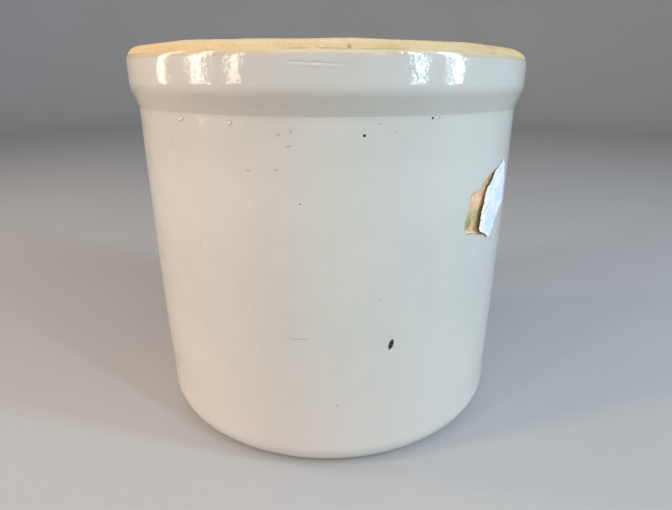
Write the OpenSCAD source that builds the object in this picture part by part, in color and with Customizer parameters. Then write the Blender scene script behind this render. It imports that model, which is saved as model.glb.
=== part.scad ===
// Open stoneware crock for fermenting, with a slatted wooden follower and two half-round weights.
// +Z is up. The origin is the centre of the foot, at the height of the table.
// Angles round the crock are counted from its front, -Y, towards +X.

/* [Crock] */
// Diameter of the collar, over the glaze
collar_d = 330; // [290:1:400]
// Height from the table to the top of the bare rim
crock_h = 316; // [240:1:380]
// Thickness of the fired clay in the wall
wall_t = 12; // [9:0.5:16]
// Thickness of the fired clay in the floor
floor_t = 15; // [11:0.5:20]
// Thickness of the glaze coat, inside and outside
glaze_t = 0.6; // [0.4:0.1:1]

/* [Collar and rim] */
// Height of the collar's upright face and rim together
collar_h = 25; // [22:1:40]
// How far the collar stands out from the body
overhang = 5.3; // [3:0.1:9]
// Slope of the underside of the collar, from upright
under_slope = 20; // [15:1:35]
// Radius where the collar's face turns under
under_round = 26; // [10:1:30]
// Radius where the underside meets the body
neck_round = 4; // [2:0.5:8]
// Outer rounding of the rim
rim_outer_round = 10; // [6:0.5:12]
// Inner rounding of the rim
rim_inner_round = 4.5; // [3:0.5:5]

/* [Body] */
// How far the body draws in from the neck to the foot
draw_in = 2.2; // [0:0.2:6]
// How far the wall swells past a straight line at mid height
swell = 0.8; // [0:0.1:3]
// Rounding between wall and foot
corner_round = 21; // [16:1:36]
// Rounding between the inner wall and the floor
floor_round = 14; // [10:1:18]
// Depth of the hollow under the foot
foot_hollow = 1.5; // [0.5:0.1:3]
// Width of the bare ring that the crock stands on
foot_ring_w = 16; // [10:1:30]

/* [Bare patch and label] */
// Angle round the crock of the label's near edge
label_angle = 46; // [0:1:359]
// Height of the lower edge of the bare patch
patch_z = 178; // [120:1:190]
// Thickness of the label
label_t = 0.4; // [0.3:0.1:1]
// Bend radius of the lifted label, as a multiple of the wall's radius
label_bend = 2; // [1.4:0.1:3]
// Degrees round the crock from the label's near edge to where it still clings
label_cling = 15; // [13:1:17]

/* [Follower] */
// Gap between the follower and the glazed wall
follower_gap = 9; // [5:0.5:15]
// Thickness of the follower boards
board_t = 16; // [10:0.5:20]
// Gap between neighbouring boards
board_gap = 1.5; // [1:0.5:4]
// Width of each batten
batten_w = 30; // [20:1:40]
// Thickness of the battens, which stand on the floor
batten_t = 18; // [14:0.5:24]
// Distance from the centre to each batten's centre line
batten_x = 56; // [54:1:62]
// Diameter of the wooden pegs
peg_d = 8; // [5:0.5:10]
// Depth of each peg in its batten
peg_depth = 12; // [6:0.5:13]
// Diameter of the finger holes in the centre board
lift_hole_d = 24; // [18:1:30]
// Distance from the centre to each finger hole
lift_hole_x = 26; // [20:1:27]

/* [Weights] */
// Gap between the weights and the edge of the follower
weight_margin = 11; // [4:1:20]
// Thickness of each weight
weight_t = 28; // [18:1:36]
// Gap between the two weights
weight_gap = 6; // [3:0.5:12]
// Edge rounding of the weights
weight_round = 6; // [3:0.5:9]
// Diameter of the finger hole in each weight
weight_hole_d = 26; // [20:1:32]
// Distance from the centre to the finger hole, as a share of the weight's radius
weight_hole_at = 0.42; // [0.35:0.01:0.5]

/* [Hidden] */

$fn = 96;
arc_step = 6;         // degrees turned by each straight stretch of a rounded corner
wall_steps = 10;      // straight stretches up the swollen wall
glaze_stop = 30;      // the outer glaze ends this far up the rim's rounding: a multiple of arc_step
glaze_foot = 72;      // and this far down the foot's rounding: a multiple of arc_step
inner_glaze_drop = 3; // the inner glaze ends this far below the rim's inner rounding
seat_gap = 0.1;       // hair gap where loose pieces rest on each other
cut = 1;              // how far a cutter runs on past the surface that it cuts
label_high = 60;      // height of the label's top above the patch's lower edge
label_reach = 20;     // how far the label's outline reaches either side of the wall
batten_inset = 3;     // gap between a batten's end and the rounding of the floor

// Clay surfaces, without glaze
collar_r = collar_d / 2 - glaze_t;
neck_r = collar_r - overhang;
foot_r = neck_r - draw_in;
mouth_r = neck_r - wall_t;
well_r = foot_r - wall_t;
collar_z = crock_h - collar_h;
under_len = (overhang - (under_round + neck_round) * (1 - cos(under_slope))) / sin(under_slope);
neck_z = collar_z - (under_round + neck_round) * sin(under_slope) - under_len * cos(under_slope);
mouth_z = crock_h - rim_inner_round;
inner_glaze_z = mouth_z - inner_glaze_drop;
well_z = floor_t + floor_round;
ring_r = foot_r - corner_round;

// Follower and weights, stacked on the glazed floor
glazed_floor_z = floor_t + glaze_t;
batten_z = glazed_floor_z + seat_gap;
board_z = batten_z + batten_t + seat_gap;
board_top_z = board_z + board_t;
weight_z = board_top_z + seat_gap;
follower_r = well_r - glaze_t - follower_gap;
board_pitch = 2 * follower_r / 5;
board_w = board_pitch - board_gap;
batten_len = 2 * (flat_reach(batten_x + batten_w / 2) - batten_inset);
weight_r = follower_r - weight_margin;

// Half the chord of the flat glazed floor at distance x from the centre
function flat_reach(x) = sqrt(pow(well_r - floor_round, 2) - x * x);

// Points on an arc about [x, z], from angle a0 to a1
function arc(x, z, r, a0, a1) =
    let (steps = ceil(abs(a1 - a0) / arc_step))
        [for (i = [0:steps]) let (a = a0 + (a1 - a0) * i / steps) [x + r * cos(a), z + r * sin(a)]];

// Radius of the clay wall at height z, between foot and neck
function wall_r(z) =
    let (t = (z - corner_round) / (neck_z - corner_round)) foot_r + draw_in * t + swell * 4 * t * (1 - t);

// Radius of the clay's inner wall at height z, between floor and mouth
function bore_r(z) = well_r + draw_in * (z - well_z) / (mouth_z - well_z);

// Outside of the crock, a coat's thickness s outside the clay, from angle a0 on the foot's rounding
// to angle a1 on the rim's
function outer_line(s, a0, a1) = concat(
    arc(ring_r, corner_round, corner_round + s, a0, 0),
    [for (i = [1:wall_steps - 1]) let (z = corner_round + (neck_z - corner_round) * i / wall_steps)
        [wall_r(z) + s, z]],
    arc(neck_r + neck_round, neck_z, neck_round - s, 180, 180 - under_slope),
    arc(collar_r - under_round, collar_z, under_round + s, -under_slope, 0),
    arc(collar_r - rim_outer_round, crock_h - rim_outer_round, rim_outer_round + s, 0, a1));

// Inside of the crock, a coat's thickness s inside the clay, from the top of the inner glaze down to the
// centre of the floor
function inner_line(s) = concat(
    [[bore_r(inner_glaze_z) - s, inner_glaze_z]],
    arc(well_r - floor_round, well_z, floor_round - s, 0, -90),
    [[0, floor_t + s]]);

function reversed(points) = [for (i = [len(points) - 1:-1:0]) points[i]];

module crock_body() {
    color("burlywood")
        difference() {
            rotate_extrude()
                polygon(concat(
                    [[0, 0]],
                    outer_line(0, -90, 90),
                    arc(mouth_r + rim_inner_round, mouth_z, rim_inner_round, 90, 180),
                    inner_line(0)));
            translate([0, 0, -cut])
                cylinder(h = cut + foot_hollow, r = ring_r - foot_ring_w);
        }
}

// The coat stops on the rim and under the foot, and has broken away over one patch
module outer_glaze() {
    color("antiquewhite")
        difference() {
            rotate_extrude()
                polygon(concat(
                    outer_line(0, -glaze_foot, glaze_stop),
                    reversed(outer_line(glaze_t, -glaze_foot, glaze_stop))));
            bare_patch_cutter();
        }
}

module inner_glaze() {
    color("antiquewhite")
        rotate_extrude()
            polygon(concat(inner_line(0), reversed(inner_line(glaze_t))));
}

// Stands a flat shape upright across the wall at an angle round the crock: its +X runs round,
// its +Y up from the patch's lower edge, and its +Z out from the axis, starting at radius r
module on_wall(angle, r) {
    rotate([0, 0, angle - 90])
        translate([r, 0, patch_z])
            rotate([90, 0, 90])
                children();
}

// Outline of the patch where the glaze has gone, down to bare clay
module bare_patch_cutter() {
    on_wall(label_angle, foot_r - cut)
        linear_extrude(height = draw_in + swell + glaze_t + 3 * cut)
            polygon([[-21, 7], [-21, 17], [-17, 23], [-16, 37], [-8, 38], [8, 46], [20, 51], [30, 50],
                     [34, 30], [24, 12], [10, 2], [2, 0], [-8, 4]]);
}

// What is left of a blank label: it still clings to the wall on its far side and has sprung away
// on its near side
module label_remnant() {
    cling_angle = label_angle + label_cling;
    bend_r = label_bend * neck_r;
    touch_r = wall_r(patch_z + label_high) + glaze_t + seat_gap;
    color("aliceblue")
        intersection() {
            rotate([0, 0, cling_angle - 90])
                translate([touch_r - bend_r, 0, 0])
                    difference() {
                        cylinder(h = crock_h, r = bend_r + label_t, $fn = 180);
                        translate([0, 0, -cut])
                            cylinder(h = crock_h + 2 * cut, r = bend_r, $fn = 180);
                    }
            on_wall(cling_angle, foot_r - label_reach)
                linear_extrude(height = 2 * label_reach)
                    polygon([[-49, 8], [-49, 20], [-45, 34], [-35, 45], [-28, 50], [-19, 54], [-10, 57],
                             [-2, 50], [4, 33], [7, 20], [-5, 16], [-18, 5], [-28, -2], [-30, -3], [-38, 3]]);
        }
}

// One slat of the round follower: number 0 is the centre board, and the numbers rise towards +Y
module board(number) {
    color("peru")
        difference() {
            intersection() {
                translate([0, 0, board_z])
                    cylinder(h = board_t, r = follower_r, $fn = 180);
                translate([-follower_r, number * board_pitch - board_w / 2, board_z - cut])
                    cube([2 * follower_r, board_w, board_t + 2 * cut]);
            }
            peg_places(number)
                translate([0, 0, board_z - cut])
                    cylinder(h = board_t + 2 * cut, d = peg_d);
        }
}

// Two pegs tie each board to each batten, on a slant so that they don't split one line of grain.
// They share out the length of batten that lies under the board.
module peg_places(number) {
    near_y = abs(number) * board_pitch - board_w / 2;
    far_y = min(near_y + board_w, batten_len / 2);
    for (side = [-1, 1], end = [-1, 1])
        translate([side * batten_x + end * batten_w / 5,
                   sign(number) * (near_y + far_y) / 2 + end * (far_y - near_y) / 4,
                   0])
            children();
}

module centre_board() {
    color("peru")
        difference() {
            board(0);
            for (side = [-1, 1])
                translate([side * lift_hole_x, 0, board_z - cut])
                    cylinder(h = board_t + 2 * cut, d = lift_hole_d);
        }
}

module rear_inner_board() {
    board(1);
}

module front_inner_board() {
    board(-1);
}

module rear_outer_board() {
    board(2);
}

module front_outer_board() {
    board(-2);
}

// A batten under the boards, running across them
module batten(side) {
    color("sienna")
        difference() {
            translate([side * batten_x - batten_w / 2, -batten_len / 2, batten_z])
                cube([batten_w, batten_len, batten_t]);
            for (number = [-2:2])
                peg_places(number)
                    translate([0, 0, board_z - peg_depth - seat_gap])
                        cylinder(h = board_t + peg_depth, d = peg_d);
        }
}

module right_batten() {
    batten(1);
}

module left_batten() {
    batten(-1);
}

// All the wooden pegs, flush with the top of the boards
module batten_pegs() {
    color("wheat")
        for (number = [-2:2])
            peg_places(number)
                translate([0, 0, board_z - peg_depth])
                    cylinder(h = board_t + peg_depth, d = peg_d);
}

// One half-round weight, on the +Y side, with a finger hole near its middle
module half_weight() {
    color("linen")
        difference() {
            rotate_extrude()
                polygon(concat(
                    [[0, weight_z]],
                    arc(weight_r - weight_round, weight_z + weight_round, weight_round, -90, 0),
                    arc(weight_r - weight_round, weight_z + weight_t - weight_round, weight_round, 0, 90),
                    [[0, weight_z + weight_t]]));
            translate([-weight_r - cut, weight_gap / 2 - 2 * weight_r, weight_z - cut])
                cube([2 * weight_r + 2 * cut, 2 * weight_r, weight_t + 2 * cut]);
            translate([0, weight_r * weight_hole_at, weight_z - cut])
                cylinder(h = weight_t + 2 * cut, d = weight_hole_d);
        }
}

module rear_weight() {
    half_weight();
}

module front_weight() {
    rotate([0, 0, 180])
        half_weight();
}

crock_body();
outer_glaze();
inner_glaze();
label_remnant();
centre_board();
rear_inner_board();
front_inner_board();
rear_outer_board();
front_outer_board();
left_batten();
right_batten();
batten_pegs();
front_weight();
rear_weight();
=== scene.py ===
"""The crock's looks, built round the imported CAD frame.

Metres, +Z up. The crock's front faces -Y. Angles round the crock are counted from its front, towards +X.
"""

import math

import bpy
import numpy as np
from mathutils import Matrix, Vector, noise


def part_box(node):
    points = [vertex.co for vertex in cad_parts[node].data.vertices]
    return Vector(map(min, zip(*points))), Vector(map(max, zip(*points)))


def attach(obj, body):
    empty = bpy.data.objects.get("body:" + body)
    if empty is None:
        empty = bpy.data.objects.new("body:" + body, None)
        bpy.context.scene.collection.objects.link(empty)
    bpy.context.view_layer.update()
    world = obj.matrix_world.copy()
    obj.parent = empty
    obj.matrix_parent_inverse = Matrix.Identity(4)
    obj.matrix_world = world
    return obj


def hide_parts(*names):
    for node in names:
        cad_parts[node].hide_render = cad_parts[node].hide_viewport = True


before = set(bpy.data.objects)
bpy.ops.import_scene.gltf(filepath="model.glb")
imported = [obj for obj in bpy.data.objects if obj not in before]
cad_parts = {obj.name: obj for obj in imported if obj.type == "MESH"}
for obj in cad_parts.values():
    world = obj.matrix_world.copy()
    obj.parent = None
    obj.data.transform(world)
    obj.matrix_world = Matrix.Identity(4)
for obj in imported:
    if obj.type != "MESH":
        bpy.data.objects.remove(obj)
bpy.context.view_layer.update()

# ---------------------------------------------------------------- sizes

glaze_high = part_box("outer_glaze")[1]
clay_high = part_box("crock_body")[1]
bore_low, bore_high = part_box("inner_glaze")

COLLAR_R = glaze_high.x      # over the glaze
CLAY_R = clay_high.x         # the collar's clay
COAT = COLLAR_R - CLAY_R     # thickness of the glaze
HEIGHT = clay_high.z
MM = COLLAR_R / 165          # one millimetre on a crock with this collar
ROOM = COLLAR_R / 0.165      # one metre of studio for a crock with this collar

# The outside of the clay, from the foot up
CORNER = 21 * MM             # rounding between foot and wall
OVERHANG = 5.3 * MM          # how far the collar stands out
DRAW_IN = 2.2 * MM           # how far the wall draws in from the neck to the foot
SWELL = 0.8 * MM             # how far the wall swells halfway up
NECK_ROUND = 4 * MM          # rounding between wall and collar
UNDER_SLOPE = 20             # slope of the collar's underside, in degrees from upright
UNDER_ROUND = 26 * MM        # rounding from that slope to the collar's upright face
COLLAR_Z = HEIGHT - 25 * MM  # where the collar's upright face starts
RIM_OUT = 10 * MM            # outer rounding of the rim
RIM_IN = 4.5 * MM            # inner rounding of the rim
GLAZE_STOP = 30              # degrees up the rim's outer rounding where the outer coat ends
GLAZE_FOOT = 72              # degrees down the foot's rounding where it ends
NECK_R = CLAY_R - OVERHANG
FOOT_R = NECK_R - DRAW_IN
RING_R = FOOT_R - CORNER     # outer edge of the flat ring that it stands on
HOLLOW_R = RING_R - 16 * MM  # its inner edge, where the hollow starts
HOLLOW = 1.5 * MM            # depth of the hollow under the foot

slope = math.radians(UNDER_SLOPE)
under_rounds = UNDER_ROUND + NECK_ROUND
under_length = (OVERHANG - under_rounds * (1 - math.cos(slope))) / math.sin(slope)
NECK_Z = COLLAR_Z - under_rounds * math.sin(slope) - under_length * math.cos(slope)

# The inside of the clay
FLOOR_Z = bore_low.z
MOUTH_R = bore_high.x
WELL_R = MOUTH_R - DRAW_IN
WELL_ROUND = 14 * MM         # rounding between wall and floor

# The bare patch's and the label's outlines are measured from this place on the wall
PATCH_ANGLE = math.radians(46)
PATCH_Z = 178 * MM

# The weights
WEIGHT_HOLE_AT = 0.42        # distance of the finger hole from the middle, as a share of the radius
WEIGHT_HOLE_R = 13 * MM
WEIGHT_SOFT = 6 * MM         # rounding of the top edge
WEIGHT_LIP = 3 * MM          # rounding of the hole's edges

# ---------------------------------------------------------------- small helpers


def rad(degrees):
    return math.radians(degrees)


def smooth(t):
    t = np.clip(t, 0, 1)
    return t * t * (3 - 2 * t)


def waves(x, y, z, length, seed, count=7):
    """A smooth lumpy field from -1 to 1, with bumps about length apart."""
    rng = np.random.default_rng(seed)
    total = 0
    for _ in range(count):
        way = rng.normal(size=3)
        way *= 2 * math.pi / (length * np.linalg.norm(way)) * rng.uniform(0.6, 1.4)
        total = total + np.sin(x * way[0] + y * way[1] + z * way[2] + rng.uniform(0, 2 * math.pi))
    return total / count * 1.4


def wall_radius(z):
    """Radius of the bare clay wall at height z, between foot and neck."""
    t = np.clip((z - CORNER) / (NECK_Z - CORNER), 0, 1)
    return FOOT_R + DRAW_IN * t + SWELL * 4 * t * (1 - t)


def place(angle, r, z):
    """Points from angle round the crock, radius and height."""
    return np.stack([r * np.sin(angle), -r * np.cos(angle), z], axis=-1)


def arc(r, z, radius, start, stop, steps):
    """(radius, height) points on an arc about (r, z). Angles are in degrees from outwards to upwards."""
    a = np.radians(np.linspace(start, stop, steps))
    return np.stack([r + radius * np.cos(a), z + radius * np.sin(a)], axis=-1)


def mesh_piece(name, verts, faces):
    mesh = bpy.data.meshes.new(name)
    mesh.from_pydata(verts, [], faces)
    mesh.shade_smooth()
    piece = bpy.data.objects.new(name, mesh)
    bpy.context.scene.collection.objects.link(piece)
    return piece


def grid_mesh(name, points, wrap_rows=False, first_pole=False, last_pole=False):
    """A mesh of rows x columns points. Columns always join up in a ring; rows may. A pole closes the
    first or the last ring with a point in its middle."""
    rows, cols = points.shape[:2]
    verts = [tuple(p) for p in points.reshape(-1, 3)]
    faces = []
    for r in range(rows if wrap_rows else rows - 1):
        a, b = r * cols, (r + 1) % rows * cols
        for c in range(cols):
            d = (c + 1) % cols
            faces.append((a + c, a + d, b + d, b + c))
    for asked, row, flip in ((first_pole, 0, True), (last_pole, rows - 1, False)):
        if asked:
            pole = len(verts)
            verts.append(tuple(points[row].mean(axis=0)))
            for c in range(cols):
                pair = (row * cols + c, row * cols + (c + 1) % cols)
                faces.append((pair[1], pair[0], pole) if flip else (pair[0], pair[1], pole))
    return mesh_piece(name, verts, faces)


def keep_value(piece, name, values):
    """Stores one number per point for a material to read."""
    full = np.zeros(len(piece.data.vertices), np.float32)
    flat = np.asarray(values, np.float32).ravel()
    full[:len(flat)] = flat
    piece.data.attributes.new(name, "FLOAT", "POINT").data.foreach_set("value", full)


def finish_piece(piece, body, material, node):
    """Gives a piece its material and lets it stand for a CAD node."""
    piece.data.materials.append(material)
    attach(piece, body)
    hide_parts(node)


# ---------------------------------------------------------------- node materials


class Paint:
    """A node material, with a short call for each kind of node."""

    def __init__(self, name):
        self.material = bpy.data.materials.new(name)
        self.material.use_nodes = True
        self.tree = self.material.node_tree
        self.tree.nodes.clear()
        self.shader = self.tree.nodes.new("ShaderNodeBsdfPrincipled")
        output = self.tree.nodes.new("ShaderNodeOutputMaterial")
        self.tree.links.new(self.shader.outputs[0], output.inputs[0])
        self.place = self.tree.nodes.new("ShaderNodeTexCoord").outputs["Object"]

    def feed(self, socket, value):
        """Sets an input to a number or a colour, or links another node's output to it."""
        if isinstance(value, bpy.types.NodeSocket):
            self.tree.links.new(value, socket)
        elif isinstance(value, (tuple, list)) and len(value) == 3 and socket.type == "RGBA":
            socket.default_value = (*value, 1)
        else:
            socket.default_value = value

    def set(self, **inputs):
        """Sets the shader's inputs, with _ for a space in their names."""
        for name, value in inputs.items():
            self.feed(self.shader.inputs[name.replace("_", " ")], value)

    def node(self, kind, inputs=(), **settings):
        made = self.tree.nodes.new(kind)
        for key, value in settings.items():
            setattr(made, key, value)
        for name, value in dict(inputs).items():
            self.feed(made.inputs[name], value)
        return made

    def math(self, operation, a, b=0.0, c=0.0):
        return self.node("ShaderNodeMath", {0: a, 1: b, 2: c}, operation=operation).outputs[0]

    def vector(self, operation, a, b=(0, 0, 0)):
        made = self.node("ShaderNodeVectorMath", {0: a, 1: b}, operation=operation)
        return made.outputs["Value" if operation in ("LENGTH", "DOT_PRODUCT") else 0]

    def product(self, a, b):
        return self.math("MULTIPLY", a, b)

    def height(self):
        """Height above the table."""
        return self.node("ShaderNodeSeparateXYZ", {0: self.place}).outputs[2]

    def stretched(self, scale, shift=(0, 0, 0)):
        moved = self.node("ShaderNodeMapping", {"Vector": self.place, "Location": shift, "Scale": scale})
        return moved.outputs[0]

    def noise(self, length, detail=3.0, rough=0.5, where=None, twist=0.0):
        """Noise with features about length metres across, from 0 to 1."""
        return self.node("ShaderNodeTexNoise", {
            "Vector": where or self.place, "Scale": 1 / length, "Detail": detail,
            "Roughness": rough, "Distortion": twist}).outputs["Fac"]

    def ramp(self, value, low, high, out_low=0.0, out_high=1.0):
        """Eases from out_low to out_high as value goes from low to high."""
        made = self.node("ShaderNodeMapRange", {
            "Value": value, "From Min": low, "From Max": high, "To Min": out_low, "To Max": out_high})
        made.interpolation_type = "SMOOTHSTEP"
        return made.outputs[0]

    def mix(self, share, a, b):
        """Colour a, with this share of colour b."""
        made = self.node("ShaderNodeMix", data_type="RGBA")
        self.feed(made.inputs["Factor"], share)
        self.feed(made.inputs[6], a)
        self.feed(made.inputs[7], b)
        return made.outputs[2]

    def attribute(self, name):
        """A value that keep_value stored."""
        return self.node("ShaderNodeAttribute", attribute_name=name).outputs["Fac"]

    def bump(self, height, depth):
        return self.node("ShaderNodeBump", {"Height": height, "Distance": depth, "Strength": 1.0}).outputs[0]

    def specks(self, length, size, share):
        """1 inside round specks of that size, in that share of cells length metres across."""
        cells = self.node("ShaderNodeTexVoronoi", {"Vector": self.place, "Scale": 1 / length})
        chosen = self.node("ShaderNodeSeparateColor", {0: cells.outputs["Color"]}).outputs[0]
        inside = self.ramp(cells.outputs["Distance"], size / length * 1.3, size / length * 0.7)
        return self.product(inside, self.math("LESS_THAN", chosen, share))

    def spot(self, centre, radii, turn=0.0):
        """1 inside one ragged oval mark at a point: radii across and up, leaning by turn."""
        offset = self.vector("SUBTRACT", self.place, tuple(centre))
        side = Vector((-centre[1], centre[0], 0)).normalized()
        up = Vector((0, 0, 1))
        across = side * math.cos(turn) + up * math.sin(turn)
        along = up * math.cos(turn) - side * math.sin(turn)
        out = side.cross(up)
        ring = 0.0
        for axis, reach in ((across, radii[0]), (along, radii[1]), (out, 8 * MM)):
            share = self.math("DIVIDE", self.vector("DOT_PRODUCT", offset, tuple(axis)), reach)
            ring = self.math("MULTIPLY_ADD", share, share, ring)
        frayed = self.math("ADD", ring, self.noise(radii[0] * 0.6, 2, 0.6))
        return self.ramp(frayed, 1.75, 1.2)

    def wall_mark(self, mark):
        """1 inside a mark that is given as in the lists below."""
        angle, height, across, up, lean = mark
        z = height * MM
        centre = place(rad(angle), float(wall_radius(z)) + COAT, z)
        return self.spot(centre, (across * MM, up * MM), rad(lean))


# Marks in the outer glaze: degrees round the crock, height in mm, radii across and up in mm, lean in degrees
IRON_SPOTS = [
    (8.1, 260.5, 1.05, 0.95, 0),
    (16.5, 110.5, 1.9, 4.4, -14),
    (24.6, 269.8, 0.8, 0.8, 0),
    (-6.5, 217.5, 0.45, 0.45, 0),
    (2, 62, 0.4, 0.4, 0),
    (133, 214, 1.0, 0.8, 20),
    (205, 120, 0.7, 1.2, 30),
    (262, 246, 0.8, 0.7, 0),
]
SCUFFS = [
    (-7.5, 118.5, 7.0, 0.4, 3),
    (-8.2, 263, 0.8, 1.6, 0),
    (-11, 261, 1.6, 0.8, -25),
    (-8.8, 254, 2.0, 0.8, 10),
    (-18.7, 238, 1.6, 0.7, 0),
    (-12, 239, 1.8, 0.7, 15),
    (-42.5, 251, 0.7, 2.6, 0),
    (11.5, 267.5, 1.2, 0.6, 0),
    (15.3, 262.5, 1.2, 0.6, 0),
    (-35, 181, 0.5, 2.2, 0),
    (12.8, 148, 0.9, 0.9, 0),
    (170, 180, 9.0, 0.5, 8),
    (228, 205, 5.0, 0.5, -12),
]
CHIPS = [
    (-38, 268.3, 2.6, 0.9, 20),
    (-23, 267.7, 1.7, 1.1, 0),
    (26, 270.7, 1.1, 0.7, 0),
    (150, 268.5, 2.2, 1.0, 0),
]


def marked_glaze(p, base, rough, height):
    """Adds the scuffs, chips and iron spots to a glaze's colour, roughness and height. A chip is pale, with
    a painted shadow along its lower right edge."""
    for scuff in SCUFFS:
        mark = p.wall_mark(scuff)
        base = p.mix(p.product(mark, 0.6), base, (0.31, 0.28, 0.22))
        rough = p.math("MAXIMUM", rough, p.product(mark, 0.6))
    for angle, level, across, up, lean in CHIPS:
        # painted shadow along the chip's lower right edge
        chip_shadow = p.wall_mark((angle + 0.4, level - 0.7, 1.2 * across, 1.4 * up, lean))
        base = p.mix(p.product(chip_shadow, 0.55), base, (0.36, 0.31, 0.24))
        mark = p.wall_mark((angle, level, across, up, lean))
        base = p.mix(p.product(mark, 0.75), base, (0.86, 0.84, 0.78))
        height = p.math("SUBTRACT", height, p.product(mark, 2.2))
    for iron in IRON_SPOTS:
        mark = p.wall_mark(iron)
        base = p.mix(mark, base, (0.020, 0.014, 0.010))
        height = p.math("SUBTRACT", height, p.product(mark, 0.6))
    return base, rough, height


def wear_and_painted_shade(p, base, cloudy):
    """Browns a glaze where it breaks off at the bare patch, thins it to a tan band below the rim, and paints
    shade under the collar and in the grooves of its folds."""
    brown = p.mix(p.ramp(p.noise(0.013, 3, 0.6), 0.42, 0.58), (0.60, 0.44, 0.24), (0.25, 0.16, 0.07))
    broken = p.ramp(p.attribute("patch_edge"), 0.0, 1.0)
    base = p.mix(p.product(broken, 0.85), base, brown)
    top_edge = p.attribute("top_edge")
    uneven = p.product(p.math("SUBTRACT", p.noise(0.016, 4, 0.65), 0.5), 0.7)
    thin = p.math("ADD", top_edge, uneven)
    thin_tone = p.mix(p.ramp(thin, 0.35, 0.75), (0.60, 0.47, 0.35), (0.66, 0.545, 0.31))
    base = p.mix(p.ramp(thin, 0.05, 0.45, 0, 0.92), base, thin_tone)
    gaps = p.ramp(p.noise(0.024, 2, 0.5), 0.45, 0.62)
    brown_line = p.product(p.ramp(top_edge, 0.80, 0.95), gaps)
    base = p.mix(p.product(brown_line, 0.6), base, (0.30, 0.20, 0.09))
    # painted shade: the glaze is darkened under the collar and in the fold's groove
    painted_shade = p.product(p.attribute("painted_shade"), p.ramp(cloudy, 0.2, 0.7, 0.75, 1.0))
    return p.mix(p.product(painted_shade, 0.55), base, (0.40, 0.38, 0.33))


def glaze_paint(name, outside):
    """Off-white glaze, paler towards the foot. Only the outer coat has marks, worn edges and painted shade.
    """
    p = Paint(name)
    broad = p.noise(0.11, 2, 0.5)
    cloudy = p.noise(0.02, 4, 0.55)
    base = p.mix(p.ramp(broad, 0.3, 0.7), (0.575, 0.572, 0.528), (0.612, 0.605, 0.555))
    base = p.mix(p.ramp(cloudy, 0.35, 0.75, 0, 0.35), base, (0.645, 0.640, 0.600))
    base = p.mix(p.ramp(p.height(), 0.45 * HEIGHT, 0.1 * HEIGHT, 0, 0.6), base, (0.70, 0.655, 0.60))
    drops = p.specks(0.011, 0.00035, 0.35)
    base = p.mix(p.product(drops, 0.5), base, (0.34, 0.25, 0.13))
    grit = p.specks(0.027, 0.0004, 0.22)
    base = p.mix(p.product(grit, 0.75), base, (0.12, 0.085, 0.05))
    rough = p.ramp(p.noise(0.03, 5, 0.6), 0.3, 0.75, 0.06, 0.17)
    ripples = p.math("ADD", p.product(p.noise(0.0042, 3, 0.6), 0.75), p.product(p.noise(0.014, 2, 0.5), 1.2))
    pits = p.specks(0.006, 0.0004, 0.3)
    height = p.math("SUBTRACT", ripples, p.product(pits, 0.5))
    if outside:
        base, rough, height = marked_glaze(p, base, rough, height)
        base = wear_and_painted_shade(p, base, cloudy)
    p.set(Base_Color=base, Roughness=rough, IOR=1.58, Normal=p.bump(height, 0.00022))
    return p.material


def scar_tone(p):
    """Colour of the broken clay in the bare patch: tan at its foot, then olive, a peach band, and olive
    again, with dark upright streaks. Along its edges is a pale painted highlight."""
    blur = p.math("SUBTRACT", p.noise(0.012, 3, 0.6), 0.5)
    level = p.math("MULTIPLY_ADD", blur, 22 * MM, p.height())
    peach_foot = p.ramp(level, PATCH_Z + 22 * MM, PATCH_Z + 27 * MM)
    peach_top = p.ramp(level, PATCH_Z + 40 * MM, PATCH_Z + 35 * MM)
    raw = p.mix(p.product(peach_foot, peach_top), (0.56, 0.47, 0.22), (0.86, 0.56, 0.35))
    raw = p.mix(p.ramp(level, PATCH_Z + 13 * MM, PATCH_Z + 9 * MM), raw, (0.74, 0.51, 0.31))
    streaks = p.ramp(p.noise(0.0034, 4, 0.7, p.stretched((1, 1, 0.22))), 0.45, 0.62)
    lower_more = p.ramp(level, PATCH_Z + 26 * MM, PATCH_Z + 8 * MM, 0.25, 0.85)
    raw = p.mix(p.product(streaks, lower_more), raw, (0.20, 0.115, 0.05))
    # painted highlight: a pale lip along the patch's broken edge
    edge_highlight_band = p.ramp(p.attribute("broken"), 2.6, 0.3)
    lip = p.product(edge_highlight_band, p.ramp(p.noise(0.007, 2, 0.5), 0.35, 0.6, 0.35, 1.0))
    return p.mix(lip, raw, (0.88, 0.75, 0.46))


# Stains on the rim: degrees round the crock, radii across and up in mm
RIM_STAINS = [(4.4, 1.2, 2.0), (-118, 2.5, 1.5), (164, 1.6, 1.6)]


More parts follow.
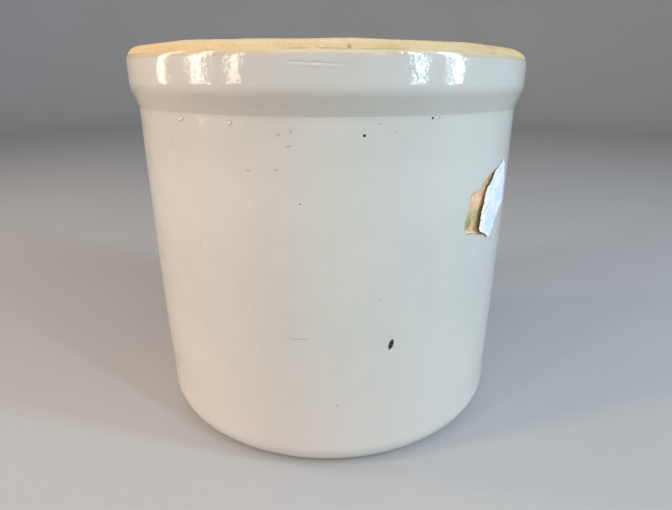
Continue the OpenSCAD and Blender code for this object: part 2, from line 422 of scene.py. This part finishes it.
def clay_paint(name):
    """Bare buff clay: blushed and olive in patches, with a painted highlight on the crown of the rim, gritty
    and stained.
    """
    p = Paint(name)
    mottle = p.noise(0.018, 5, 0.6)
    base = p.mix(p.ramp(mottle, 0.3, 0.75), (0.74, 0.56, 0.31), (0.66, 0.48, 0.25))
    # painted highlight: the rim's crown is paler, as if lit from above
    crown_highlight = p.ramp(p.height(), HEIGHT - 4.5 * MM, HEIGHT - 1.2 * MM, 0, 0.6)
    base = p.mix(crown_highlight, base, (0.84, 0.70, 0.47))
    fine = p.noise(0.0016, 3, 0.7)
    base = p.mix(p.ramp(fine, 0.35, 0.8, 0, 0.35), base, (0.407, 0.308, 0.1705))
    grit = p.specks(0.007, 0.0004, 0.3)
    base = p.mix(p.product(grit, 0.6), base, (0.20, 0.12, 0.06))
    blush = p.noise(0.03, 3, 0.6, twist=0.4)
    base = p.mix(p.ramp(blush, 0.5, 0.7, 0, 0.5), base, (0.76, 0.52, 0.32))
    base = p.mix(p.ramp(blush, 0.46, 0.3, 0, 0.5), base, (0.62, 0.52, 0.25))
    for angle, across, up in RIM_STAINS:
        mark = p.spot(place(rad(angle), CLAY_R - 1.2 * MM, HEIGHT - 5.4 * MM), (across * MM, up * MM))
        base = p.mix(p.product(mark, 0.7), base, (0.34, 0.22, 0.10))
    stains = p.ramp(p.noise(0.045, 4, 0.65, twist=0.6), 0.55, 0.75, 0, 0.35)
    base = p.mix(stains, base, (0.38, 0.24, 0.11))
    base = p.mix(p.ramp(p.attribute("broken"), -0.6, 0.1), base, scar_tone(p))
    height = p.math("ADD", p.product(p.noise(0.0012, 4, 0.7), 0.7), p.noise(0.005, 3, 0.6))
    height = p.math("SUBTRACT", height, p.product(grit, 0.8))
    p.set(Base_Color=base, Roughness=p.ramp(mottle, 0.2, 0.8, 0.55, 0.8), Normal=p.bump(height, 0.00035))
    return p.material


def paper_paint(name):
    """Bluish white paper with a cream painted highlight along its loose edge."""
    p = Paint(name)
    fibre = p.noise(0.0006, 4, 0.7, p.stretched((1, 1, 0.35)))
    base = p.mix(p.ramp(p.noise(0.012, 3, 0.6), 0.38, 0.62), (0.85, 0.88, 0.92), (0.66, 0.76, 0.86))
    dust = p.specks(0.0060, 0.0008, 0.4)
    base = p.mix(p.product(dust, 0.5), base, (0.40, 0.42, 0.44))
    # painted highlight: a cream glint along the label's loose edge
    edge_glint = p.ramp(p.attribute("loose_edge"), 0.25, 0.8)
    base = p.mix(edge_glint, base, (1.0, 0.87, 0.68))
    p.set(Base_Color=base, Roughness=0.62, Normal=p.bump(fibre, 0.00012))
    return p.material


def weight_paint(name):
    """Cream glaze with brown specks, worn through to the clay underneath the weight."""
    p = Paint(name)
    cloudy = p.noise(0.03, 4, 0.55)
    base = p.mix(p.ramp(cloudy, 0.3, 0.7), (0.62, 0.585, 0.50), (0.70, 0.67, 0.60))
    drops = p.specks(0.007, 0.0004, 0.5)
    base = p.mix(p.product(drops, 0.6), base, (0.24, 0.16, 0.09))
    bare = p.ramp(p.math("ADD", p.attribute("underside"), p.product(cloudy, 0.3)), 0.5, 0.9)
    base = p.mix(bare, base, (0.62, 0.45, 0.25))
    rough = p.math("MAXIMUM", p.ramp(cloudy, 0.3, 0.8, 0.16, 0.3), p.product(bare, 0.7))
    height = p.math("SUBTRACT", p.noise(0.012, 3, 0.5), p.product(drops, 0.5))
    p.set(Base_Color=base, Roughness=rough, Normal=p.bump(height, 0.0003))
    return p.material


def wood_paint(name, pale, dark, along, pith, shift):
    """Straight-grained wood. along is the grain's axis, 0 for X, 1 for Y or 2 for Z, and pith is a point
    on the line that its growth rings run round."""
    p = Paint(name)
    ring_gap = 0.0036
    across = tuple(0.0 if axis == along else 1.0 for axis in range(3))
    drawn_out = tuple(0.05 if axis == along else 1.0 for axis in range(3))
    fine = tuple(0.02 if axis == along else 1.0 for axis in range(3))
    radius = p.vector("LENGTH", p.vector("SUBTRACT", p.stretched(across), tuple(pith)))
    wander = p.noise(0.030, 3, 0.5, p.stretched(drawn_out, shift))
    rings = p.math("MULTIPLY_ADD", wander, 0.014, radius)
    bands = p.ramp(p.math("SINE", p.product(rings, 2 * math.pi / ring_gap)), -1.0, 1.0)
    fibres = p.noise(0.0011, 3, 0.7, p.stretched(fine, shift))
    base = p.mix(bands, pale, dark)
    base = p.mix(p.ramp(fibres, 0.45, 0.75, 0, 0.55), base, tuple(0.45 * c for c in dark))
    stain = p.ramp(p.noise(0.05, 4, 0.6), 0.45, 0.75, 0, 0.4)
    base = p.mix(stain, base, tuple(0.5 * c for c in pale))
    height = p.math("ADD", p.product(fibres, -0.8), p.product(bands, 0.35))
    p.set(Base_Color=base, Roughness=p.ramp(fibres, 0.3, 0.8, 0.5, 0.72), Normal=p.bump(height, 0.0004))
    return p.material


# ---------------------------------------------------------------- the crock's shape


def fine_steps(low, high, step, fine_low, fine_high, fine_step):
    """Numbers from low to high, step apart, but fine_step apart between fine_low and fine_high."""
    before = np.linspace(low, fine_low, max(2, round((fine_low - low) / step) + 1))[:-1]
    within = np.linspace(fine_low, fine_high, round((fine_high - fine_low) / fine_step) + 1)
    after = np.linspace(fine_high, high, max(2, round((high - fine_high) / step) + 1))[1:]
    return np.concatenate([before, within, after])


# Columns round the crock and rows up its wall, both closer together at the bare patch
angles = np.radians(fine_steps(-180, 180, 1.5, 35, 64, 0.25)[:-1])
wall_heights = fine_steps(CORNER, NECK_Z, 3.2 * MM, PATCH_Z - 4 * MM, PATCH_Z + 56 * MM, 0.75 * MM)[1:-1]


def outer_line(coat, low, high, detail=1.0):
    """(radius, height) points up the outside, coat outside the clay, from angle low on the foot's
    rounding to angle high on the rim's. detail is the share of the full number of rows."""
    def rows(full):
        return max(4, round(full * detail))

    walls = wall_heights if detail == 1.0 else np.linspace(CORNER, NECK_Z, 14)[1:-1]
    face = np.linspace(COLLAR_Z, HEIGHT - RIM_OUT, rows(22) + 2)[1:-1]
    return np.concatenate([
        arc(RING_R, CORNER, CORNER + coat, low, 0, rows(14)),
        np.stack([wall_radius(walls) + coat, walls], axis=-1),
        arc(NECK_R + NECK_ROUND, NECK_Z, NECK_ROUND - coat, 180, 180 - UNDER_SLOPE, rows(5)),
        arc(CLAY_R - UNDER_ROUND, COLLAR_Z, UNDER_ROUND + coat, -UNDER_SLOPE, 0, rows(16)),
        np.stack([np.full(len(face), CLAY_R + coat), face], axis=-1),
        arc(CLAY_R - RIM_OUT, HEIGHT - RIM_OUT, RIM_OUT + coat, 0, high, rows(10))])


def inner_line(coat, top, rows=40):
    """(radius, height) points down the inside from height top, coat inside the clay."""
    well_z = FLOOR_Z + WELL_ROUND
    z = np.linspace(top, well_z, rows)[:-1]
    r = WELL_R + DRAW_IN * (z - well_z) / (HEIGHT - RIM_IN - well_z) - coat
    floor = np.linspace(WELL_R - WELL_ROUND, 0.02 * COLLAR_R, 14)[1:]
    return np.concatenate([
        np.stack([r, z], axis=-1),
        arc(WELL_R - WELL_ROUND, well_z, WELL_ROUND - coat, 0, -90, 12),
        np.stack([floor, np.full(len(floor), FLOOR_Z + coat)], axis=-1)])


def warped(angle, r, z):
    """The fired crock isn't quite true: it is a little out of round, its base is fuller on the right
    than on the left, and its rim dips at both sides, more on the right."""
    share = np.clip(z / HEIGHT, 0, 1)
    r = r + share * MM * (0.25 * np.cos(2 * angle - 0.9) + 0.15 * np.cos(3 * angle + 2.1))
    off_the_floor = np.clip((r / COLLAR_R - 0.78) / 0.1, 0, 1)
    full = 1.1 * np.exp(-((z / MM - 13) / 13) ** 2) * np.clip(np.cos(angle - rad(75)), 0, 1)
    slack = 0.9 * np.exp(-((z / MM - 42) / 22) ** 2) * np.clip(np.cos(angle + rad(75)), 0, 1)
    r = r + MM * off_the_floor * (full - slack)
    dip = np.clip(np.cos(angle - rad(88)), 0, 1) ** 2
    z = z - share ** 6 * MM * (3.2 * dip + 1.15 * np.sin(angle) ** 2 + 0.2 * np.cos(5 * angle))
    return r, z


def crease(angle, z):
    """Folds in the glaze on the collar: how deep their grooves are, from 0 to 1, and how far the face
    stands off. One runs across the front, high up; a fainter one is low down on the left."""
    turn = np.degrees(angle)
    share = smooth((turn + 9) / 3) * smooth((3.5 - turn) / 3)
    above = (z - (HEIGHT - 13.3 * MM)) / MM + 0.12 * (turn + 3) + 0.25 * np.sin(turn * 1.3)
    groove = share * np.exp(-(above / 0.45) ** 2)
    lip = share * np.exp(-((above + 1.3) / 0.8) ** 2)
    share = smooth((turn + 47) / 4) * smooth((-25 - turn) / 4)
    above = (z - (HEIGHT - 30.8 * MM)) / MM + 0.4 * np.sin(turn * 0.5)
    low_lip = share * np.exp(-(above / 0.8) ** 2)
    return groove, MM * (0.35 * lip - 0.35 * groove + 0.2 * low_lip)


def surface_lumps(points):
    """How far the surface stands off a true turned form: throwing rings and soft lumps."""
    x, y, z = points[..., 0], points[..., 1], points[..., 2]
    rings = waves(x * 0.15, y * 0.15, z, 17 * MM, 5)
    lumps = waves(x, y, z, 38 * MM, 6)
    return MM * (0.05 * rings + 0.10 * lumps)


def rounded(outline, rounds):
    """A closed outline with its corners cut back again and again."""
    for _ in range(rounds):
        following = np.roll(outline, -1, axis=0)
        pair = [0.75 * outline + 0.25 * following, 0.25 * outline + 0.75 * following]
        outline = np.stack(pair, axis=1).reshape(-1, 2)
    return outline


def patch_outline():
    """Outline of the bare patch: distance round from PATCH_ANGLE and height above PATCH_Z."""
    corners = np.array([
        (-21, 8), (-22, 17), (-17, 30), (-17, 38), (-7, 38), (-2, 43), (9, 49), (19, 51), (30, 49),
        (32, 32), (14, 8), (3, 2), (-9, 6)]) * MM
    line = rounded(corners, 2)
    rng = np.random.default_rng(11)
    return line + rng.normal(size=line.shape) * 0.25 * MM


def edge_distance(points, outline):
    """Each point's distance to the outline, positive inside it, and its nearest point on the outline."""
    start, stop = outline, np.roll(outline, -1, axis=0)
    run = stop - start
    offset = points[:, None] - start
    t = np.clip((offset * run).sum(-1) / (run * run).sum(-1), 0, 1)
    near = start + t[..., None] * run
    gap = np.linalg.norm(points[:, None] - near, axis=-1)
    best = gap.argmin(axis=1)
    rows = np.arange(len(points))
    x, y = points[:, :1], points[:, 1:]
    spans = (start[:, 1] > y) != (stop[:, 1] > y)
    with np.errstate(divide="ignore", invalid="ignore"):
        cross = x < start[:, 0] + (y - start[:, 1]) * run[:, 0] / run[:, 1]
    inside = (spans & cross).sum(axis=1) % 2 == 1
    return np.where(inside, 1, -1) * gap[rows, best], near[rows, best]


def patch_distance(angle, z, snap=0.0):
    """Distance inside the bare patch's edge for a grid of angles and heights.

    Points within snap of the edge are moved onto it. Returns distance, angle and height.
    """
    round_way = (angle - PATCH_ANGLE) * (wall_radius(z) + COAT)
    flat = np.stack([round_way, z - PATCH_Z], axis=-1).reshape(-1, 2)
    near = (np.abs(flat[:, 0] - 6 * MM) < 40 * MM) & (np.abs(flat[:, 1] - 25 * MM) < 36 * MM)
    distance = np.full(len(flat), -1.0)     # far outside, unless measured
    gap, onto = edge_distance(flat[near], patch_outline())
    close = np.abs(gap) < snap
    moved = flat[near]
    moved[close] = onto[close]
    gap[close] = 0
    flat[near] = moved
    distance[near] = gap
    shape = angle.shape
    angle = flat[:, 0].reshape(shape) / (wall_radius(z) + COAT) + PATCH_ANGLE
    return distance.reshape(shape), angle, flat[:, 1].reshape(shape) + PATCH_Z


def spread(line):
    """A line of (radius, height) repeated for every column: grids of angle, radius and height."""
    shape = (len(line), len(angles))
    return (np.broadcast_to(angles, shape).copy(), np.broadcast_to(line[:, :1], shape).copy(),
            np.broadcast_to(line[:, 1:], shape).copy())


def on_outer_wall(z):
    return (z > CORNER * 1.2) & (z < NECK_Z - 4 * MM)


def thinned(rows_in):
    """1 on a coat's edge row and 0 two rows in, for every column. rows_in counts the rows from the edge."""
    return np.clip(1 - rows_in / 1.6, 0, 1)[:, None] * np.ones(len(angles))


def make_outer_glaze():
    """The outer coat: a face, and a back sunk in the clay. It thins at both edges, its top edge wavers,
    and over the bare patch it dives under the clay."""
    line = outer_line(COAT, -GLAZE_FOOT, GLAZE_STOP)
    angle, r, z = spread(line)
    wander = 0.5 * waves(np.cos(angle), np.sin(angle), 0 * angle, 0.45, 21) - 0.55 - 0.45 * np.cos(angle)
    z = z + MM * wander * smooth((z - (HEIGHT - RIM_OUT - 6 * MM)) / (10 * MM))
    gap, snapped, height = patch_distance(angle, z, 0.42 * MM)
    angle = np.where(on_outer_wall(z), snapped, angle)
    z = np.where(on_outer_wall(z), height, z)
    sunk = np.where(gap > 0.05 * MM, 2.2 * MM, 0)
    row = np.arange(len(line))
    thin = thinned(np.minimum(row, len(line) - 1 - row))
    face_r, face_z = warped(angle, r - sunk - thin * 0.45 * COAT, z)
    fold, fold_lift = crease(angle, z)
    face_r = face_r + surface_lumps(place(angle, face_r, face_z)) + fold_lift
    back_angle, back_r, back_z = spread(outer_line(-0.25 * MM, -GLAZE_FOOT, GLAZE_STOP, 0.4)[::-1])
    inside_patch = patch_distance(back_angle, back_z)[0]
    back_r = back_r - np.where((inside_patch > -3 * MM) & on_outer_wall(back_z), 3.2 * MM, 0)
    back = place(back_angle, *warped(back_angle, back_r, back_z))
    points = np.concatenate([place(angle, face_r, face_z), back])
    piece = grid_mesh("outer_glaze_coat", points, wrap_rows=True)
    keep_value(piece, "patch_edge", np.clip(1 - np.abs(gap) / (0.9 * MM), 0, 1) * on_outer_wall(z))
    keep_value(piece, "top_edge", np.clip(1 - (z[-1] - z) / (4.6 * MM), 0, 1) * (z > COLLAR_Z))
    # where the glaze gets painted shade: under the collar and in the fold's groove
    under_collar = smooth((z - NECK_Z + 1 * MM) / (3 * MM)) * smooth((COLLAR_Z - z) / (8 * MM))
    keep_value(piece, "painted_shade", np.maximum(under_collar, fold))
    return piece


def make_clay_body():
    """The clay, from the middle of the foot's hollow up the outside, over the rim and down the inside.
    Its face is broken inside the bare patch and lumpy on the rim."""
    hollow = np.array([(0.02 * COLLAR_R, HOLLOW), (HOLLOW_R * 0.5, HOLLOW), (HOLLOW_R - 1.5 * MM, HOLLOW),
                       (HOLLOW_R, HOLLOW * 0.4), (HOLLOW_R + 1 * MM, 0), (RING_R * 0.97, 0)])
    rim_top = np.concatenate([
        arc(CLAY_R - RIM_OUT, HEIGHT - RIM_OUT, RIM_OUT, 6, 90, 16),
        arc(MOUTH_R + RIM_IN, HEIGHT - RIM_IN, RIM_IN, 90, 180, 9)])
    inside = inner_line(0, HEIGHT - RIM_IN - 2 * MM, 18)
    angle, r, z = spread(np.concatenate([hollow, outer_line(0, -90, 0), rim_top, inside]))
    outer = on_outer_wall(z) & (r > (MOUTH_R + NECK_R) / 2)
    inside_patch = np.where(outer, patch_distance(angle, z)[0], -1)
    flat = place(angle, r, z)
    scar = np.zeros(r.shape)
    for i, j in np.argwhere(inside_patch > -2 * MM):
        p = Vector(flat[i, j]) / MM
        ridges = abs(noise.noise(p * 0.13)) + 0.5 * abs(noise.noise(p * 0.31)) + 0.18 * noise.noise(p * 0.9)
        scar[i, j] = MM * (0.15 + 1.1 * ridges) * float(smooth((inside_patch[i, j] / MM + 0.6) / 2.5))
    x, y, up = flat[..., 0], flat[..., 1], flat[..., 2]
    rough_rim = MM * (0.16 * waves(x, y, up, 9 * MM, 31) + 0.30 * waves(x, y, up, 55 * MM, 32))
    rough_rim = rough_rim * (z > HEIGHT - RIM_OUT * 0.75)
    face_r, face_z = warped(angle, r - scar, z + rough_rim)
    face_r = face_r + surface_lumps(flat) * outer
    piece = grid_mesh("clay_body", place(angle, face_r, face_z), first_pole=True, last_pole=True)
    keep_value(piece, "broken", np.clip(inside_patch / MM, -5, 20))
    return piece


def make_inner_glaze():
    """The inner coat is a bowl: its face and its back each end in a point at the centre of the floor."""
    top = HEIGHT - RIM_IN - 3 * MM
    angle, r, z = spread(inner_line(COAT, top))
    wander = MM * 0.6 * waves(np.cos(angle), np.sin(angle), 0 * angle, 0.5, 22)
    z = z + wander * smooth((z - top + 12 * MM) / (12 * MM))
    thin = thinned(np.arange(len(r)))
    lumps = MM * 0.35 * waves(0.1 * r * np.sin(angle), 0.1 * r * np.cos(angle), z, 21 * MM, 23)
    wall = z > FLOOR_Z + WELL_ROUND
    face = place(angle, *warped(angle, r + thin * 0.45 * COAT + lumps * wall, z))
    angle, r, z = spread(inner_line(-0.3 * MM, top, 12)[::-1])
    back = place(angle, *warped(angle, r, z))
    return grid_mesh("inner_glaze_coat", np.concatenate([back, face]), first_pole=True, last_pole=True)


# ---------------------------------------------------------------- the label

LABEL_THICK = 0.25 * MM
CLING = rad(13)            # how far in from its loose edge the label lies flat again
GLINT_WIDTH = rad(2.2)            # how far in from its loose edge the painted highlight reaches
# Its loose edge and its far edge, going up: height above PATCH_Z in mm, and degrees round the crock
LOOSE_EDGE = [(-2, 50.8), (3, 47.6), (7, 44.4), (10, 43.7), (22, 44.4), (38, 46.5), (50, 51.2), (57, 57.5)]
FAR_EDGE = [(-2, 51), (5, 54.5), (15, 58.5), (20, 63), (33, 62.5), (50, 60.5), (57, 58)]


def ragged(edge, rng, depth):
    """An edge's angles with small tears in them, depth degrees deep."""
    return edge + depth * np.convolve(rng.normal(size=len(edge) + 2), np.ones(3) / 3, "valid")


def make_label():
    """A blank label that still clings on its far side. Its rows go up it, and its columns go round."""
    rows, cols = 110, 96
    high = np.linspace(LOOSE_EDGE[0][0], LOOSE_EDGE[-1][0], rows)
    rng = np.random.default_rng(8)
    near = ragged(np.interp(high, *np.transpose(LOOSE_EDGE)), rng, 0.09)[:, None]
    far = ragged(np.interp(high, *np.transpose(FAR_EDGE)), rng, 0.35)[:, None]
    share = np.linspace(0, 1, cols)[None] ** 1.3
    angle = np.radians(near * (1 - share) + far * share)
    z = PATCH_Z + high[:, None] * MM * np.ones(angle.shape)
    free = np.clip(1 - (angle - np.radians(near)) / CLING, 0, 1)
    flat = place(angle, wall_radius(z), z)
    x, y, up = flat[..., 0], flat[..., 1], flat[..., 2]
    crumple = np.abs(waves(x, y, up, 12 * MM, 41)) + 0.5 * np.abs(waves(x, y, up, 6 * MM, 42)) - 0.5
    sprung = np.minimum(1.4 + 1.3 * smooth((high + 2) / 10), 2.7 - 2.1 * (high - 8) / 50)[:, None]
    lift = MM * (sprung * free ** 1.7 + 0.05 + 1.1 * crumple * np.minimum(1, 2 * free))
    r, z = warped(angle, wall_radius(z) + COAT + np.maximum(lift, 0.05 * MM), z)
    verts = [tuple(p) for p in place(angle, r, z).reshape(-1, 3)]
    faces = [(i * cols + j, i * cols + j + 1, (i + 1) * cols + j + 1, (i + 1) * cols + j)
             for i in range(rows - 1) for j in range(cols - 1)]
    piece = mesh_piece("label", verts, faces)
    keep_value(piece, "loose_edge", np.clip(1 - (angle - angle[:, :1]) / GLINT_WIDTH, 0, 1))
    thick = piece.modifiers.new("thickness", "SOLIDIFY")
    thick.thickness = LABEL_THICK
    thick.offset = 1
    return piece


# ---------------------------------------------------------------- the weights


def around_hole(turn, radius, flat_y, hole_y):
    """Distance from the hole's centre to the edge of a half circle, in each direction. The corners are
    slightly rounded."""
    up = np.sin(turn)
    to_circle = -hole_y * up + np.sqrt((hole_y * up) ** 2 + radius ** 2 - hole_y ** 2)
    to_flat = np.where(up < -1e-3, (flat_y - hole_y) / np.minimum(up, -1e-3), 1e3)
    power = 14.0    # the higher, the sharper the corners
    return (to_circle ** -power + to_flat ** -power) ** (-1 / power)


def make_weight(node):
    """A half-round weight with softened edges and a finger hole. Columns go round the hole, and rows
    go down the outside, in under the bottom, up the hole and back out over the top."""
    low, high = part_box(node)
    side = 1 if low.y > 0 else -1
    radius = high.y if side > 0 else -low.y
    flat_y = low.y if side > 0 else -high.y
    hole_y = WEIGHT_HOLE_AT * radius
    thick = high.z - low.z
    soft, soft_low = WEIGHT_SOFT, 0.6 * WEIGHT_SOFT
    mouth = WEIGHT_HOLE_R + WEIGHT_LIP
    turn = np.linspace(0, 2 * math.pi, 181)[:-1]
    reach = around_hole(turn, radius, flat_y, hole_y)
    rings = [(reach - soft + r, z) for r, z in arc(0, thick - soft, soft, 90, 0, 8)]
    rings += [(reach - soft_low + r, z) for r, z in arc(0, soft_low, soft_low, 0, -90, 6)]
    rings += [(mouth + (reach - soft_low - mouth) * share, 0.0) for share in (0.75, 0.5, 0.25)]
    hole = np.concatenate([arc(mouth, WEIGHT_LIP, WEIGHT_LIP, -90, -180, 6),
                           arc(mouth, thick - WEIGHT_LIP, WEIGHT_LIP, 180, 90, 6)])
    rings += [(np.full(len(turn), r), z) for r, z in hole]
    rings += [(mouth + (reach - soft - mouth) * share, thick) for share in (0.25, 0.5, 0.75)]
    across, along = np.cos(turn), np.sin(turn)
    points = np.array([np.stack([r * across, hole_y + r * along, np.full(len(turn), z)], axis=-1)
                       for r, z in rings])
    points[..., 2] += low.z
    lumps = waves(points[..., 0], points[..., 1], points[..., 2], 45 * MM, 51 + side)
    points[..., 2] += MM * 0.35 * lumps * smooth((points[..., 2] - low.z) / thick)
    if side < 0:
        points[..., :2] *= -1
    piece = grid_mesh(node + "_stone", points[::-1], wrap_rows=True)
    underside = np.array([np.full(len(turn), z < 2.5 * MM) for _, z in rings])[::-1]
    keep_value(piece, "underside", underside)
    return piece


# ---------------------------------------------------------------- the follower's wood

OAK = (0.50, 0.33, 0.18), (0.36, 0.215, 0.105)
WET_OAK = (0.42, 0.27, 0.145), (0.29, 0.17, 0.085)
PEG_ENDS = (0.33, 0.205, 0.11), (0.27, 0.16, 0.082)
# Each wooden node with the axis of its grain, its pale and dark tones and the rounding of its edges in mm
WOODEN = [
    ("front_outer_board", 0, OAK, 1.1),
    ("front_inner_board", 0, OAK, 1.1),
    ("centre_board", 0, OAK, 1.1),
    ("rear_inner_board", 0, OAK, 1.1),
    ("rear_outer_board", 0, OAK, 1.1),
    ("left_batten", 1, WET_OAK, 1.1),
    ("right_batten", 1, WET_OAK, 1.1),
    ("batten_pegs", 2, PEG_ENDS, 0.35),
]


def dress_wood(number, node, along, tones, rounding):
    """Gives a wooden CAD node its own grain and soft edges."""
    tone = 1 + 0.07 * math.sin(number * 2.4)
    pale, dark = [tuple(tone * c for c in colour) for colour in tones]
    middle = sum(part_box(node), Vector()) / 2
    pith = middle + MM * Vector((14 * math.sin(number), 20 * math.sin(2.1 * number), -48))
    shift = (0.37 * number, 0.61 * number, 0.23 * number)
    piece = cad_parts[node]
    piece.data.materials.clear()
    piece.data.materials.append(wood_paint(node + "_wood", pale, dark, along, pith, shift))
    soften = piece.modifiers.new("soft_edges", "BEVEL")
    soften.width = rounding * MM
    soften.segments = 3
    soften.limit_method = "ANGLE"
    soften.angle_limit = rad(40)
    soften.harden_normals = True


# ---------------------------------------------------------------- floor, light and camera

WARM, COOL, WHITE = (1.0, 0.775, 0.61), (0.685, 0.88, 1.04), (1.0, 0.98, 0.95)
EYE_Z = 1.808 * COLLAR_R           # height of the camera
EYE_BACK = 2.858 * COLLAR_R        # its distance from the crock's axis
LOOK_DOWN = 0.354                  # radians below level
LOOK_RIGHT = 0.0159                # radians to the right of the crock's axis


def floor_paint():
    """Pale grey, faintly uneven."""
    p = Paint("floor")
    grey = (0.50, 0.50, 0.505)
    tone = p.mix(p.ramp(p.noise(0.35, 2, 0.5), 0.3, 0.7), grey, tuple(0.97 * c for c in grey))
    p.set(Base_Color=tone, Roughness=0.75)
    return p.material


def make_floor():
    """A round floor that curves up all round into a backdrop."""
    far, bend, top = 3.4 * ROOM, 0.8 * ROOM, 2.8 * ROOM
    curve = arc(far - bend, bend, bend, -90, 0, 14)
    line = np.concatenate([[(0.05 * ROOM, 0), (1.2 * ROOM, 0)], curve, [(far, top)]])
    turn = np.radians(np.arange(0, 360, 5))
    points = place(turn, line[:, :1] * np.ones(len(turn)), line[:, 1:] * np.ones(len(turn)))
    floor = grid_mesh("floor", points, first_pole=True)
    floor.data.materials.append(floor_paint())


def soft_light(name, width, height, power, colour, where, turn):
    """A rectangular light. Sizes and its place are in studio metres, and power is in watts to the
    square metre."""
    lamp = bpy.data.lights.new(name, "AREA")
    lamp.shape = "RECTANGLE"
    lamp.size, lamp.size_y = width * ROOM, height * ROOM
    lamp.energy = power * width * height * ROOM ** 2
    lamp.color = colour
    holder = bpy.data.objects.new(name, lamp)
    bpy.context.scene.collection.objects.link(holder)
    holder.location = ROOM * Vector(where)
    holder.rotation_euler = turn


def window(name, angle, distance, width, low, high, power, colour):
    """An upright light from height low to high that faces the crock's axis."""
    where = Vector(place(rad(angle), distance, (low + high) / 2))
    turn = Vector((-where.x, -where.y, 0)).to_track_quat("-Z", "Y").to_euler()
    soft_light(name, width, high - low, power, colour, where, turn)


def light_the_studio():
    """Warm windows on the left and cool ones on the right, which reach down to just below the camera's
    height, with softer light from the front, from the right and from above."""
    low = EYE_Z / ROOM - 0.07
    window("window_left_far", -94, 1.7, 0.11, low, 1.5, 50, WARM)
    window("window_left", -68, 1.7, 0.22, low, 1.5, 53, WARM)
    window("window_left_near", -47, 1.7, 0.14, low, 1.3, 42, WARM)
    window("window_right_near", 46, 1.7, 0.13, low, 1.4, 54, COOL)
    window("window_right", 68, 1.7, 0.18, low, 1.5, 64, COOL)
    window("sky_right", 60, 1.9, 1.2, 1.2, 2.2, 7.0, COOL)
    window("front_fill", 0, 1.7, 2.2, 1.1, 2.4, 6.0, WHITE)
    soft_light("overhead", 2.4, 1.2, 2.4, WHITE, (0, -0.35, 2.3), (rad(-8), 0, 0))
    world = bpy.data.worlds.new("studio")
    world.use_nodes = True
    background = world.node_tree.nodes["Background"].inputs
    background["Color"].default_value = (0.95, 0.97, 1.0, 1)
    background["Strength"].default_value = 0.25
    bpy.context.scene.world = world


def place_camera():
    """In front of the crock and a little lower than its rim, looking down at the wall."""
    lens = bpy.data.cameras.new("camera")
    lens.sensor_width = 36
    lens.lens = 26.8
    lens.clip_start, lens.clip_end = 0.01, 50
    camera = bpy.data.objects.new("camera", lens)
    bpy.context.scene.collection.objects.link(camera)
    camera.location = (0, -EYE_BACK, EYE_Z)
    camera.rotation_euler = (math.pi / 2 - LOOK_DOWN, 0, -LOOK_RIGHT)
    bpy.context.scene.camera = camera


# ---------------------------------------------------------------- build

outer_paint = glaze_paint("outer_glaze", True)
inner_paint = glaze_paint("inner_glaze", False)
stone_paint = weight_paint("weight_glaze")
finish_piece(make_outer_glaze(), "crock", outer_paint, "outer_glaze")
finish_piece(make_clay_body(), "crock", clay_paint("bare_clay"), "crock_body")
finish_piece(make_inner_glaze(), "crock", inner_paint, "inner_glaze")
finish_piece(make_label(), "crock", paper_paint("label_paper"), "label_remnant")
for weight in ("front_weight", "rear_weight"):
    finish_piece(make_weight(weight), weight, stone_paint, weight)
for number, (node, along, tones, rounding) in enumerate(WOODEN):
    dress_wood(number, node, along, tones, rounding)

make_floor()
light_the_studio()
place_camera()
bpy.context.scene.view_settings.view_transform = "Standard"
bpy.context.scene.view_settings.look = "None"
